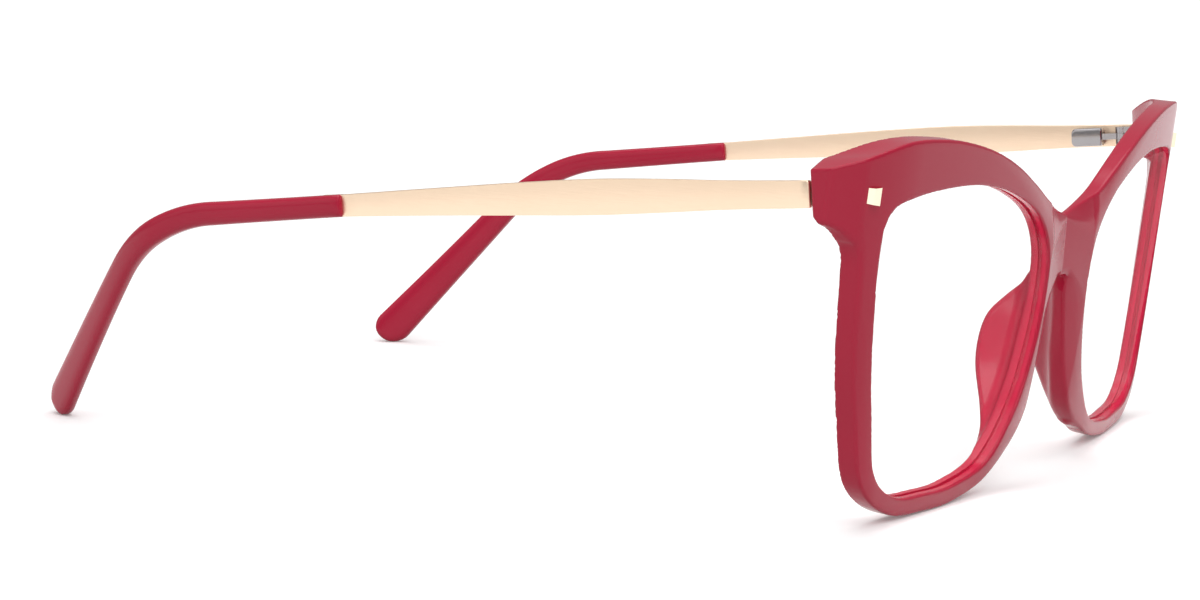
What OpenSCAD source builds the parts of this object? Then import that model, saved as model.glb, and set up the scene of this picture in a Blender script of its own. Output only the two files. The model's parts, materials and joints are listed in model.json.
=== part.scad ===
// Cat-eye spectacles: moulded front with integral nose pads, two lenses,
// flat metal temples on spring hinges, moulded temple tips.
// Millimetres. The frame stands on the rim bottoms and the temple tips, z = 0.
// The front faces -Y, the temples run to +Y, +X is the wearer's left.

/* [Lenses] */
// Width of one lens opening
lens_w = 48.6; // [42:0.1:60]
// Height of one lens opening
lens_h = 39.6; // [34:0.1:48]
// Gap between the two lens openings at the bridge
lens_gap = 17.6; // [14:0.1:22]
// Thickness of a lens
lens_t = 1.8; // [1.4:0.1:2.2]
// Radius of a lens's domed front
lens_dome_r = 250; // [220:5:500]
// Depth of the lens groove
groove_depth = 0.6; // [0.4:0.05:0.9]
// Width of the lens groove
groove_w = 0.9; // [0.7:0.05:1.2]
// Clearance between a lens and the front
lens_fit = 0.05; // [0.03:0.01:0.1]

/* [Front] */
// Width of the rim below the lens
rim_bottom_w = 2.3; // [2:0.1:4.5]
// Width of the rim beside the nose
rim_nose_w = 4.1; // [2.6:0.1:4.8]
// Width of the rim at the temple side
rim_side_w = 3.1; // [2.4:0.1:5]
// Depth of the rim from front to back
rim_depth = 2.8; // [2.5:0.1:4]
// Height of the brow above the lens at its peak
brow_h = 6.3; // [4:0.1:8]
// Height of the bridge at the centre
bridge_h = 8.6; // [6:0.1:12]
// Height of the bridge's underside above the rim bottoms
bridge_rise = 26.9; // [22:0.1:31]
// Depth of the shallow valley down the bridge's face
bridge_valley = 1.2; // [0.3:0.05:1.4]
// Radius of the front's wrap round the face
wrap_r = 330; // [240:1:420]
// Lean of the front, top forward, in degrees
front_lean = 5.8; // [3:0.1:9]

/* [Endpieces] */
// How far an endpiece reaches past the lens opening
endpiece_reach = 7.1; // [6.5:0.1:11]
// Height of an endpiece's side face
endpiece_h = 6.1; // [5.4:0.1:8]
// Depth of an endpiece's side face
endpiece_depth = 4.2; // [4:0.1:7]
// Extra sweep of the face back to the endpiece corner
endpiece_sweep = 2.1; // [0:0.1:3]
// Fall of the brow line from its peak to the corner
endpiece_fall = 3.3; // [0.5:0.1:4]

/* [Nose pads] */
// How far the pads stand behind the front's face
pad_reach = 8.1; // [7:0.1:10]
// Sideways splay of a pad from rim to edge
pad_splay = 1.6; // [1:0.1:5]
// Radius of the pad's rounded edge
pad_edge_r = 1.1; // [0.8:0.05:1.3]

/* [Temples] */
// Length of the bare metal bar behind the hinge
bar_len = 66.7; // [50:0.1:80]
// Thickness of the metal bar
bar_t = 0.9; // [0.6:0.05:1.4]
// Height of the bar at the hinge
bar_front_h = 3.3; // [3.3:0.05:4.5]
// Height of the bar at its widest
bar_wide_h = 4.5; // [3.5:0.05:7]
// Height of the bar where the tip begins
bar_rear_h = 2.9; // [2.4:0.05:4]
// Angle at which each temple runs inwards, in degrees
temple_in = 4.3; // [0:0.1:7]
// Length of the straight part of a tip
tip_straight = 21.5; // [12:0.5:40]
// Length of a tip behind its bend
tip_drop = 46.7; // [40:0.5:60]
// Angle of the bend in a tip, in degrees
tip_bend = 45; // [35:1:60]
// Inward lean of the bent end, in degrees
tip_lean = 19; // [5:1:25]
// Height of a tip near its end
tip_h = 5.4; // [4:0.1:8]
// Thickness of a tip
tip_t = 2.6; // [2.2:0.1:3.4]
// Length of the metal tang inside a tip
tang_len = 18; // [10:1:19]

/* [Hinges] */
// Distance from the hinge axis to the bar's inner face
hinge_inset = 1.45; // [1.4:0.05:2]
// Distance from the hinge axis to the endpiece's back face
hinge_setback = 1.9; // [1.8:0.05:2.4]
// Total height of the hinge knuckles
knuckle_h = 2.8; // [2.7:0.1:3.2]
// Radius of the hinge knuckles
knuckle_r = 1.3; // [1.2:0.05:1.35]
// Radius of the hinge screw
screw_r = 0.6; // [0.5:0.05:0.7]
// Running clearance of the hinge
hinge_fit = 0.04; // [0.03:0.01:0.06]
// Distance from the hinge axis to the housing
housing_gap = 3.4; // [3.2:0.1:4.5]
// Length of the spring housing
housing_len = 4.6; // [4.6:0.1:7]
// Travel of the spring slide
flex_travel = 0.6; // [0.4:0.05:0.6]

/* [Studs] */
// Width of a stud
stud_w = 2; // [1.6:0.1:3]
// Height of a stud
stud_h = 2.3; // [1.8:0.1:3]
// How far a stud stands out
stud_proud = 0.7; // [0.3:0.05:1]

/* [Hidden] */

// Curves: points per span, and facets of true circles
span_steps = 4;
$fn = 48;
ball_fn = 24;
// Large enough to cut right through
far = 200;

// Colours
crimson = [0.72, 0.13, 0.24];
champagne = [0.90, 0.76, 0.62];
pale_gold = [0.93, 0.86, 0.68];
steel = [0.75, 0.75, 0.77];
clear = [0.92, 0.96, 0.98, 0.3];

// --- curve functions -------------------------------------------------------
// A point on the curve through b and c, at t from 0 to 1
function spline_at(a, b, c, d, t) =
    (2 * b + (c - a) * t + (2 * a - 5 * b + 4 * c - d) * t * t
        + (3 * b - a - 3 * c + d) * t * t * t) / 2;
// A smooth closed curve through the points
function closed_curve(p) = [
    for (i = [0:len(p) - 1], k = [0:span_steps - 1])
        spline_at(p[(i + len(p) - 1) % len(p)], p[i], p[(i + 1) % len(p)],
            p[(i + 2) % len(p)], k / span_steps)
];
// A smooth open curve through the points
function open_curve(p) = let (n = len(p) - 1) concat([
    for (i = [0:n - 1], k = [0:span_steps - 1])
        spline_at(i == 0 ? 2 * p[0] - p[1] : p[i - 1], p[i], p[i + 1],
            i == n - 1 ? 2 * p[n] - p[n - 1] : p[i + 2], k / span_steps)
], [p[n]]);
// The outward direction of a closed, anticlockwise curve at point i
function outward(p, i) =
    let (d = p[(i + 1) % len(p)] - p[(i + len(p) - 1) % len(p)])
    [d[1], -d[0]] / norm(d);
// A closed curve moved outwards by a distance
function grown(p, distance) = [for (i = [0:len(p) - 1]) p[i] + distance * outward(p, i)];
function flipped(p) = [for (i = [len(p) - 1:-1:0]) [-p[i][0], p[i][1]]];
function reversed(p) = [for (i = [len(p) - 1:-1:0]) p[i]];

// --- the front's outline, in its own plane ---------------------------------
// The lens opening as shares of its width and height, anticlockwise from the nose side
lens_shape = [
    [0.247, 0.055], [0.447, 0.003], [0.611, 0], [0.776, 0.015], [0.895, 0.105],
    [0.942, 0.29], [0.977, 0.50], [1, 0.80], [0.977, 0.935], [0.875, 0.98],
    [0.683, 1], [0.508, 0.995], [0.323, 0.955], [0.14, 0.872], [0.029, 0.748],
    [0.002, 0.598], [0.025, 0.418], [0.099, 0.22]
];
lens_near = lens_gap / 2;
lens_far = lens_near + lens_w;
lens_top = rim_bottom_w + lens_h;
lens_points = [for (p = lens_shape) [lens_near + p[0] * lens_w, rim_bottom_w + p[1] * lens_h]];
lens_curve = closed_curve(lens_points);
lens_mid = [lens_near + lens_w / 2, rim_bottom_w + lens_h / 2];
// Rim width round the lens: point number and width, from the nose round the bottom
rim_widths = [
    [16, rim_nose_w + 0.5], [17, rim_nose_w + 0.4], [0, rim_nose_w - 1.7], [1, rim_bottom_w],
    [2, rim_bottom_w], [3, rim_bottom_w], [4, rim_side_w - 0.4], [5, rim_side_w - 0.1],
    [6, rim_side_w]
];
rim_points = [for (r = rim_widths) lens_points[r[0]] + r[1] * outward(lens_points, r[0])];
// Brow line: share of the way along the lens, share of the rise from bridge to peak
brow_peak = lens_top + brow_h;
bridge_top = bridge_rise + bridge_h;
half_w = lens_far + endpiece_reach;
corner_top = brow_peak - endpiece_fall;
corner_low = corner_top - endpiece_h;
corner_in = 0.8;
corner_x = half_w - corner_in;
brow_shape = [
    [-0.11, 0.055], [0.03, 0.205], [0.17, 0.43], [0.32, 0.653], [0.47, 0.82], [0.62, 0.93],
    [0.76, 0.985], [0.92, 0.985], [1.05, 0.87]
];
brow_points = concat([[0, bridge_top]], [
    for (b = brow_shape)
        [lens_near + b[0] * lens_w, bridge_top + b[1] * (brow_peak - bridge_top)]
], [[half_w, corner_top]]);
// Under the endpiece the outline swings into the rim
under_points = [
    rim_points[len(rim_points) - 1],
    lens_points[7] + (rim_side_w + 0.1) * outward(lens_points, 7),
    [lens_far + rim_side_w + 0.9, corner_low - 2.2],
    [lens_far + rim_side_w + 2.2, corner_low - 0.7],
    [corner_x, corner_low]
];
bridge_points = [
    [0, bridge_rise], [lens_near * 0.3, bridge_rise - 0.3], [lens_near * 0.41, bridge_rise - 2.6],
    [lens_near * 0.52, bridge_rise - 6]
];
lower_points = concat(bridge_points, rim_points, [under_points[1], under_points[2],
    under_points[3], under_points[4]]);
half_outline = concat(open_curve(lower_points), reversed(open_curve(brow_points)));
front_outline = concat(half_outline, flipped([for (i = [1:len(half_outline) - 2]) half_outline[i]]));

// --- places in depth ---------------------------------------------------------
// Depth of the wrapped face behind the flat plane, at a distance from the centre
function wrap(x) = wrap_r - sqrt(wrap_r * wrap_r - x * x);
sweep_lead = 6;
sweep_start = lens_far - sweep_lead;
function swept(x) = let (s = max(0, (x - sweep_start) / (half_w - sweep_start)))
    wrap(x) + endpiece_sweep * s * s;
// The bridge's shallow valley is deepest at the centre
function valley_at(x) = x > lens_near ? 0
    : bridge_valley + (wrap(lens_near) - bridge_valley) * x / lens_near;
ground = min([for (p = half_outline) p[1] * cos(front_lean) + wrap(p[0]) * sin(front_lean)]);
groove_mid = rim_depth / 2;
lens_lean = asin(lens_mid[0] / wrap_r);
// The middle of an endpiece's front corner, and how far back it runs
corner_mid = (corner_top + corner_low) / 2;
corner_y = swept(half_w) * cos(front_lean) - corner_mid * sin(front_lean);
corner_z = corner_mid * cos(front_lean) + swept(half_w) * sin(front_lean);
butt_len = 4;
taper_len = 13;
butt_from = half_w - butt_len;
taper_from = butt_from - taper_len;
pivot_back = endpiece_depth + hinge_setback;
bar_set_in = 0.1;
pivot_x = half_w - bar_set_in - bar_t - hinge_inset;
function pivot_y_at(fall) = corner_y + pivot_back * cos(fall);
function pivot_z_at(fall) = corner_z - pivot_back * sin(fall);

// --- the temple's side view --------------------------------------------------
// The tip's centre line: a straight, a bend, a straight
bend_r = 26;
bend_start = bar_len + tip_straight;
bend_steps = 10;
tip_dip = 0.03 * tip_straight;
tip_path = concat(
    [for (s = [0, 0.5]) [bar_len + s * tip_straight, -tip_dip * s]],
    [for (k = [0:bend_steps]) let (a = k / bend_steps * tip_bend)
        [bend_start + bend_r * sin(a), -tip_dip - bend_r * (1 - cos(a))]]
);
bend_end = tip_path[len(tip_path) - 1];
tip_run = tip_drop - bend_r * tip_bend * PI / 180;
tip_end = bend_end + tip_run * [cos(tip_bend), -sin(tip_bend)];
run_steps = 4;
tip_line = concat(tip_path,
    [for (k = [1:run_steps]) bend_end + (tip_end - bend_end) * k / run_steps]);
tip_n = len(tip_line) - 1;
// Share of the tip's length that lies before point i
function run_to(i) = i == 0 ? 0 : run_to(i - 1) + norm(tip_line[i] - tip_line[i - 1]);
function tip_half(i) =
    (bar_rear_h + 0.1 + (tip_h - bar_rear_h) * pow(run_to(i) / run_to(tip_n), 2.2)) / 2;
function line_dir(i) =
    let (d = tip_line[min(i + 1, tip_n)] - tip_line[max(i - 1, 0)]) d / norm(d);
function left_of(d) = [-d[1], d[0]];
end_steps = 8;
tip_round = [for (k = [1:end_steps - 1]) let (a = 90 - k * 180 / end_steps)
    tip_end + tip_half(tip_n) * (cos(a) * line_dir(tip_n) + sin(a) * left_of(line_dir(tip_n)))];
tip_outline = concat(
    [for (i = [0:tip_n]) tip_line[i] + tip_half(i) * left_of(line_dir(i))],
    tip_round,
    [for (i = [tip_n:-1:0]) tip_line[i] - tip_half(i) * left_of(line_dir(i))]
);
// The tip's inward lean, seen from above
lean_start = bend_start + bend_r * 0.4;
lean_run = tip_end[0] + tip_h - lean_start;
lean_soften = 0.25;
function lean_at(y) = let (s = max(0, y - lean_start) / lean_run)
    -lean_run * tan(tip_lean) * (1 + lean_soften) * s * s / (s + lean_soften);
lean_line = concat([[0, bar_len - 1], [0, lean_start - 6]], [
    for (y = [lean_start:lean_run / 8:lean_start + lean_run + 1]) [lean_at(y), y]
]);
tip_mid_x = hinge_inset + bar_t / 2;
// How far behind the hinge a point of the tip's outline reaches, before the temple's fall
function tip_back(q) = q[0] * cos(temple_in) + (tip_mid_x + lean_at(q[0])) * sin(temple_in);
// The temple's fall is what brings the tip's lowest point down to the rim bottoms' level
function low_point(fall) = pivot_z_at(fall) - ground
    + min([for (q = tip_outline) q[1] * cos(fall) - (tip_back(q) + slant) * sin(fall)]);
slant = tip_t / 2 * sin(temple_in);
function settle(fall, turns) = turns == 0 ? fall
    : settle(fall + asin(low_point(fall) / tip_end[0]), turns - 1);
temple_fall = settle(5, 6);
pivot_y = pivot_y_at(temple_fall);
pivot_z = pivot_z_at(temple_fall);

// An endpiece's outline, drawn so that its top meets the brow's top at the face
back_slope = tan(front_lean + temple_fall);
endpiece_outline = concat([[taper_from, corner_low], [corner_x, corner_low]], reversed([
    for (p = open_curve(brow_points)) if (p[0] >= taper_from)
        [p[0], p[1] - back_slope * (swept(half_w) - swept(p[0]))]
]));

// The bar's side view: distance behind the hinge and half height
bar_rise = 0.3;
function bar_bow(y) = bar_rise * sin(180 * min(max(y / bar_len, 0), 1));
butt_gap = 0.06;
bar_top = open_curve([
    [butt_gap - hinge_setback, bar_front_h / 2], [0.14 * bar_len, 0.4 * bar_front_h + 0.1 * bar_wide_h],
    [0.28 * bar_len, 0.15 * bar_front_h + 0.35 * bar_wide_h], [0.42 * bar_len, bar_wide_h / 2],
    [0.58 * bar_len, 0.1 * bar_rear_h + 0.4 * bar_wide_h],
    [0.78 * bar_len, 0.3 * bar_rear_h + 0.2 * bar_wide_h], [bar_len, bar_rear_h / 2]
]);
bar_outline = concat(
    [for (p = bar_top) [p[0], bar_bow(p[0]) + p[1]]],
    [for (p = reversed(bar_top)) [p[0], bar_bow(p[0]) - p[1]]]
);
tang_step = 0.45;
tang_half_h = bar_rear_h / 2 - tang_step;
tang_end = bar_len + tang_len;
function dip_at(y) = -tip_dip * (y - bar_len) / tip_straight;

// --- hinge details -----------------------------------------------------------
slide_t = knuckle_h / 3;
ear_t = (knuckle_h - slide_t) / 2 - hinge_fit;
root_face = knuckle_r + 0.15;
root_len = 2.6;
leaf_half_w = 1.25;
hinge_bore_r = screw_r + hinge_fit;
screw_head_r = screw_r + 0.35;
screw_head_t = 0.4;
screw_slot_w = 0.25;
housing_wall = 0.35;
end_wall = 0.45;
housing_half_h = knuckle_h / 2;
housing_in = -1.2;
housing_end = housing_gap + housing_len;
cavity_half_w = -housing_in - housing_wall;
cavity_half_h = housing_half_h - housing_wall;
cavity_end = housing_end - end_wall;
neck_half_w = 0.7;
guide_len = 1.1;
plate_t = 0.5;
mouth_gap = 0.05;
travel_spare = 0.1;
guide_front = housing_gap + mouth_gap;
guide_back = guide_front + guide_len;
stop_front = guide_back + flex_travel + travel_spare;
stop_back = stop_front + plate_t;
nut_back = cavity_end - travel_spare;
nut_front = nut_back - plate_t;
rod_r = 0.35;
rod_fit = 0.06;
rod_bore_r = rod_r + rod_fit;
nut_r = 0.75;
spring_wire_r = 0.1;
spring_turns = 4;
spring_mid_r = rod_r + 0.25;
spring_seat = spring_wire_r + 0.02;
spring_from = stop_back + spring_seat;
spring_to = nut_front - spring_seat;
ring_sides = 8;
rings_per_turn = 12;
ring_n = spring_turns * rings_per_turn;

// --- stud details ------------------------------------------------------------
stud_in = 4.5;
stud_drop = 0.3;
stud_x = half_w - stud_in;
stud_up = corner_mid - stud_drop;
stud_turn = asin(stud_x / wrap_r)
    + atan(2 * endpiece_sweep * (stud_x - sweep_start) / pow(half_w - sweep_start, 2));
stud_seat = 0.5;
stud_pin_r = 0.45;
stud_pin_len = 1.6;
stud_bevel = 0.45;

// --- placing -----------------------------------------------------------------
// The origin is midway between the brow's front edge and the tips' rear ends
brow_lead = min([for (p = open_curve(brow_points))
    max(wrap(p[0]), valley_at(p[0])) * cos(front_lean) - p[1] * sin(front_lean)]);
tip_rear = max([for (q = tip_outline)
    (tip_back(q) + slant) * cos(temple_fall) + q[1] * sin(temple_fall)]);
mid_y = (brow_lead + pivot_y + tip_rear) / 2;

module placed() { translate([0, -mid_y, -ground]) children(); }
// The front's own frame: x across, y back through the rim, z up the face
module front_frame() { placed() rotate([front_lean, 0, 0]) children(); }
// The left endpiece's frame: y runs back along the temple's fall
module endpiece_frame() {
    placed() translate([0, corner_y, corner_z]) rotate([-temple_fall, 0, 0]) children();
}
// The left hinge's frame: z is the hinge axis
module hinge_frame() {
    placed() translate([pivot_x, pivot_y, pivot_z]) rotate([-temple_fall, 0, 0]) children();
}
// The left temple's frame: the temple runs along y
module temple_frame() { hinge_frame() rotate([0, 0, temple_in]) children(); }
module left_side() { children(); }
module right_side() { mirror([1, 0, 0]) children(); }
module both_sides() { for (s = [0, 1]) mirror([s, 0, 0]) children(); }
// A side view drawn back and up, made a plate between two distances across
module plate(from_x, to_x) {
    translate([from_x, 0, 0]) rotate([90, 0, 90]) linear_extrude(to_x - from_x) children();
}
// A view of the front drawn across and up, driven through from before to behind
module through() { translate([0, far / 2, 0]) rotate([90, 0, 0]) linear_extrude(far) children(); }
// The solid behind the wrapped face, from a depth inwards
module behind_face(depth) {
    translate([0, wrap_r, -far / 2]) cylinder(r = wrap_r - depth, h = far, $fn = 96);
}
module wrap_shell(near, deep) {
    difference() { behind_face(near); behind_face(deep); }
}
module box(from, to) { translate(from) cube(to - from); }
// A round bar along y
module round_bar(r, from_y, to_y) {
    translate([0, from_y, 0]) rotate([-90, 0, 0]) cylinder(r = r, h = to_y - from_y);
}

// --- the front ---------------------------------------------------------------
module front_blank() {
    intersection() {
        through() difference() {
            polygon(front_outline);
            for (s = [0, 1]) mirror([s, 0]) translate([butt_from, corner_low]) square(far);
        }
        wrap_shell(0, rim_depth);
    }
}
// The brow thickens into an endpiece, whose top and underside follow the temple's fall
module endpiece_blank() {
    rim_back = wrap(taper_from) + rim_depth - swept(half_w);
    intersection() {
        endpiece_frame() intersection() {
            translate([0, 0, -corner_mid]) through() polygon(endpiece_outline);
            translate([0, 0, -far / 2]) linear_extrude(far) polygon([
                [taper_from, -far / 4], [half_w, -far / 4], [half_w, endpiece_depth],
                [butt_from, endpiece_depth], [taper_from, rim_back]
            ]);
        }
        front_frame() difference() {
            behind_face(0);
            through() polygon(lens_curve);
        }
    }
}
// What the corner's sweep takes off the wrapped face
module sweep_cut() {
    steps = 6;
    reach = half_w + 1 - sweep_start;
    translate([0, 0, -far / 2]) linear_extrude(far) polygon(concat(
        [[half_w + 1, -far / 4], [sweep_start, -far / 4]],
        [for (k = [0:steps]) let (x = sweep_start + reach * k / steps) [x, swept(x)]]
    ));
}
// A nose pad grows out of the rim's back and splays towards the temple side
module pad() {
    up = lens_h / 40;
    root = rim_depth - pad_edge_r - 0.15;
    edge = pad_reach - pad_edge_r;
    line = lens_near + pad_splay;
    // Across, back and up from the rim's bottom
    hull() for (p = [
        [lens_near - 4, root, 24.4 * up],
        [lens_near - 2.1, root, 17 * up],
        [lens_near + 1.5, root, 8.2 * up],
        [lens_near + 7.4, root, 2.6 * up],
        [line - 4.5, edge - 3.7, 24.2 * up],
        [line - 3.2, edge - 1.9, 21.8 * up],
        [line - 1.7, edge - 0.3, 19.3 * up],
        [line - 0.8, edge, 16.1 * up],
        [line + 0.2, edge - 0.5, 12.3 * up],
        [line + 2.1, edge - 2.4, 7.7 * up],
        [line + 3.8, edge - 3.7, 4.9 * up]
    ]) translate([p[0], p[1] + wrap(p[0]), rim_bottom_w + p[2]])
        sphere(r = pad_edge_r, $fn = ball_fn);
}
module lens_cut() {
    intersection() {
        through() polygon(lens_curve);
        wrap_shell(-rim_depth, rim_depth + 0.05);
    }
    intersection() {
        through() polygon(grown(lens_curve, groove_depth));
        wrap_shell(groove_mid - groove_w / 2, groove_mid + groove_w / 2);
    }
}
// The shallow valley down the middle of the bridge
module valley() {
    translate([0, 0, -far / 2]) linear_extrude(far) polygon([
        [-lens_near, -1], [lens_near, -1], [lens_near, wrap(lens_near)], [0, valley_at(0)],
        [-lens_near, wrap(lens_near)]
    ]);
}
module front() {
    color(crimson) difference() {
        union() {
            front_frame() front_blank();
            both_sides() endpiece_blank();
            front_frame() both_sides() pad();
        }
        front_frame() both_sides() lens_cut();
        front_frame() both_sides() sweep_cut();
        front_frame() valley();
        both_sides() stud(stud_seat);
        both_sides() hinge_root(1);
    }
}

// --- lenses ------------------------------------------------------------------
// The domed lens is set a little forward, so that its edge meets the groove all round
module lens_dome() {
    set_forward = 0.4;
    translate([lens_mid[0], wrap(lens_mid[0]) + groove_mid - lens_t / 2 - set_forward, lens_mid[1]])
        rotate([0, 0, lens_lean]) translate([0, lens_dome_r, 0]) difference() {
            sphere(r = lens_dome_r, $fn = 96);
            sphere(r = lens_dome_r - lens_t, $fn = 96);
        }
}
module lens() {
    color(clear) front_frame() {
        intersection() {
            through() polygon(grown(lens_curve, -lens_fit));
            lens_dome();
            behind_face(-rim_depth);
            translate([0, -far / 2, 0]) box([0, 0, 0], [far, far, far]);
        }
        intersection() {
            through() difference() {
                polygon(grown(lens_curve, groove_depth - lens_fit));
                polygon(grown(lens_curve, -1.2));
            }
            wrap_shell(groove_mid - groove_w / 2 + lens_fit, groove_mid + groove_w / 2 - lens_fit);
        }
    }
}

// --- studs -------------------------------------------------------------------
// A bevelled block on a pin, pressed into a seat in the endpiece's face
module stud(seat) {
    color(pale_gold) front_frame() translate([stud_x, swept(stud_x), stud_up])
        rotate([0, 0, stud_turn]) {
            intersection() {
                translate([0, 0, -stud_h]) linear_extrude(2 * stud_h) polygon([
                    [-stud_w / 2, seat], [-stud_w / 2, 0], [stud_bevel - stud_w / 2, -stud_proud],
                    [stud_w / 2 - stud_bevel, -stud_proud], [stud_w / 2, 0], [stud_w / 2, seat]
                ]);
                rotate([90, 0, 0]) translate([0, 0, -stud_h]) linear_extrude(2 * stud_h) polygon([
                    [-stud_w / 2, -stud_h / 2], [stud_w / 2, -stud_h * 0.4],
                    [stud_w / 2, stud_h * 0.42], [-stud_w / 2, stud_h / 2]
                ]);
            }
            round_bar(stud_pin_r, seat - 0.01, seat + stud_pin_len);
        }
}

// --- hinges ------------------------------------------------------------------
// The moulded-in root of the front hinge
module hinge_root(past) {
    hinge_frame() box(
        [-leaf_half_w, -hinge_setback - root_len, -knuckle_h / 2],
        [leaf_half_w, past - root_face, knuckle_h / 2]
    );
}
module knuckle(from_z, to_z) {
    translate([0, 0, from_z]) cylinder(r = knuckle_r, h = to_z - from_z);
}
module ear(from_z, to_z) {
    knuckle(from_z, to_z);
    box([-leaf_half_w, -root_face - 0.1, from_z], [leaf_half_w, 0, to_z]);
}
module front_hinge() {
    color(steel) difference() {
        union() {
            hinge_root(0);
            hinge_frame() ear(knuckle_h / 2 - ear_t, knuckle_h / 2);
            hinge_frame() ear(-knuckle_h / 2, ear_t - knuckle_h / 2);
        }
        hinge_frame() cylinder(r = hinge_bore_r, h = 2 * knuckle_h, center = true);
        hinge_frame() translate([0, 0, knuckle_h / 2 - screw_head_t])
            cylinder(r = screw_head_r + hinge_fit, h = knuckle_h);
    }
}
module hinge_screw() {
    color(steel) hinge_frame() difference() {
        union() {
            translate([0, 0, -knuckle_h / 2]) cylinder(r = screw_r, h = knuckle_h);
            translate([0, 0, knuckle_h / 2 - screw_head_t + 0.02])
                cylinder(r = screw_head_r, h = screw_head_t - 0.02);
        }
        translate([-screw_head_r - 1, -screw_slot_w / 2, knuckle_h / 2 - screw_head_t / 2])
            cube([2 * screw_head_r + 2, screw_slot_w, knuckle_h]);
    }
}
// The sliding half of the hinge: a knuckle, a neck, a guide, a rod and its nut
module spring_slide() {
    color(steel) temple_frame() {
        difference() {
            union() {
                knuckle(-slide_t / 2, slide_t / 2);
                box([-neck_half_w, 0, -slide_t / 2], [neck_half_w, guide_front + 0.1, slide_t / 2]);
            }
            cylinder(r = hinge_bore_r, h = 2 * knuckle_h, center = true);
        }
        box([hinge_fit - cavity_half_w, guide_front, hinge_fit - cavity_half_h],
            [cavity_half_w - hinge_fit, guide_back, cavity_half_h - hinge_fit]);
        round_bar(rod_r, guide_back - 0.1, nut_front + 0.1);
        round_bar(nut_r, nut_front, nut_back);
    }
}
module spring_stop() {
    color(steel) temple_frame() difference() {
        box([-cavity_half_w, stop_front, -cavity_half_h], [cavity_half_w, stop_back, cavity_half_h]);
        round_bar(rod_bore_r, stop_front - 1, stop_back + 1);
    }
}
// A wire swept round the rod
module hinge_spring() {
    pitch = (spring_to - spring_from) / ring_n;
    color(steel) temple_frame() polyhedron(
        points = [for (k = [0:ring_n], j = [0:ring_sides - 1])
            let (a = k * 360 / rings_per_turn, b = j * 360 / ring_sides,
                r = spring_mid_r + spring_wire_r * cos(b))
            [r * cos(a), spring_from + k * pitch + spring_wire_r * sin(b), r * sin(a)]],
        faces = concat(
            [[for (j = [0:ring_sides - 1]) j]],
            [for (k = [0:ring_n - 1], j = [0:ring_sides - 1]) let (n = (j + 1) % ring_sides)
                [k * ring_sides + j, (k + 1) * ring_sides + j,
                    (k + 1) * ring_sides + n, k * ring_sides + n]],
            [[for (j = [ring_sides - 1:-1:0]) ring_n * ring_sides + j]]
        )
    );
}
module spring_housing() {
    color(steel) temple_frame() difference() {
        box([housing_in, housing_gap, -housing_half_h],
            [hinge_inset, housing_end, housing_half_h]);
        box([-cavity_half_w, housing_gap - 1, -cavity_half_h],
            [cavity_half_w, cavity_end, cavity_half_h]);
    }
}

// --- temples -----------------------------------------------------------------
module bar_plate(from_x, to_x) {
    plate(from_x, to_x) polygon(bar_outline);
    plate(from_x, to_x) polygon([
        [bar_len - 1, tang_half_h], [bar_len - 1, -tang_half_h],
        [tang_end, dip_at(tang_end) - tang_half_h], [tang_end, dip_at(tang_end) + tang_half_h]
    ]);
}
module temple_bar() {
    color(champagne) temple_frame() bar_plate(hinge_inset, hinge_inset + bar_t);
}
module temple_tip() {
    color(crimson) temple_frame() difference() {
        intersection() {
            plate(-far / 4, far / 4) polygon(tip_outline);
            translate([tip_mid_x, 0, -far / 2]) linear_extrude(far) polygon(concat(
                [for (p = lean_line) [p[0] + tip_t / 2, p[1]]],
                [for (p = reversed(lean_line)) [p[0] - tip_t / 2, p[1]]]
            ));
        }
        bar_plate(hinge_inset, hinge_inset + bar_t);
    }
}

front();
left_side() lens();  // left_lens
right_side() lens();  // right_lens
left_side() stud(stud_seat);  // left_stud
right_side() stud(stud_seat);  // right_stud
left_side() front_hinge();  // left_front_hinge
right_side() front_hinge();  // right_front_hinge
left_side() hinge_screw();  // left_hinge_screw
right_side() hinge_screw();  // right_hinge_screw
left_side() spring_slide();  // left_spring_slide
right_side() spring_slide();  // right_spring_slide
left_side() spring_stop();  // left_spring_stop
right_side() spring_stop();  // right_spring_stop
left_side() hinge_spring();  // left_hinge_spring
right_side() hinge_spring();  // right_hinge_spring
left_side() spring_housing();  // left_spring_housing
right_side() spring_housing();  // right_spring_housing
left_side() temple_bar();  // left_temple_bar
right_side() temple_bar();  // right_temple_bar
left_side() temple_tip();  // left_temple_tip
right_side() temple_tip();  // right_temple_tip
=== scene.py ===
"""Cat-eye eyeglasses: moulded crimson front, satin champagne temples, spring hinges."""

import json
import logging
import math
from dataclasses import dataclass
from enum import Enum
from typing import Callable

import bpy
import numpy as np
from mathutils import Matrix, Vector


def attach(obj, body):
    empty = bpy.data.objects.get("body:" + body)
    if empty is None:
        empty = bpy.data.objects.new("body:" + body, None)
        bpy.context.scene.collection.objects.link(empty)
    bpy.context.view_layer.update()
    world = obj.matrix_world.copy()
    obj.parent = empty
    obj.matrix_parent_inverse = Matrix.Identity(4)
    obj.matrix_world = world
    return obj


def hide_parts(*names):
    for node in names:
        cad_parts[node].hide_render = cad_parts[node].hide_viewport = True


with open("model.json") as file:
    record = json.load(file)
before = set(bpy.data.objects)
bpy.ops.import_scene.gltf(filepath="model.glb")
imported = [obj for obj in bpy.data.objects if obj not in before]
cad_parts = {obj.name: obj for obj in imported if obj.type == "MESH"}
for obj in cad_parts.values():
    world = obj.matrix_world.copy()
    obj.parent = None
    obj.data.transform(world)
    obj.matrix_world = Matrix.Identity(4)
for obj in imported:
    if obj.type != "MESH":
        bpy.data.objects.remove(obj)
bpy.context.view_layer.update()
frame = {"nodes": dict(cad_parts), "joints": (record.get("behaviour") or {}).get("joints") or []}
LOG = logging.getLogger("eyeglasses")
MM = 0.001
Point2 = tuple[float, float]
Array = np.ndarray
MIX_A, MIX_B, MIX_OUT = 6, 7, 2  # sockets of a colour mix


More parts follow.
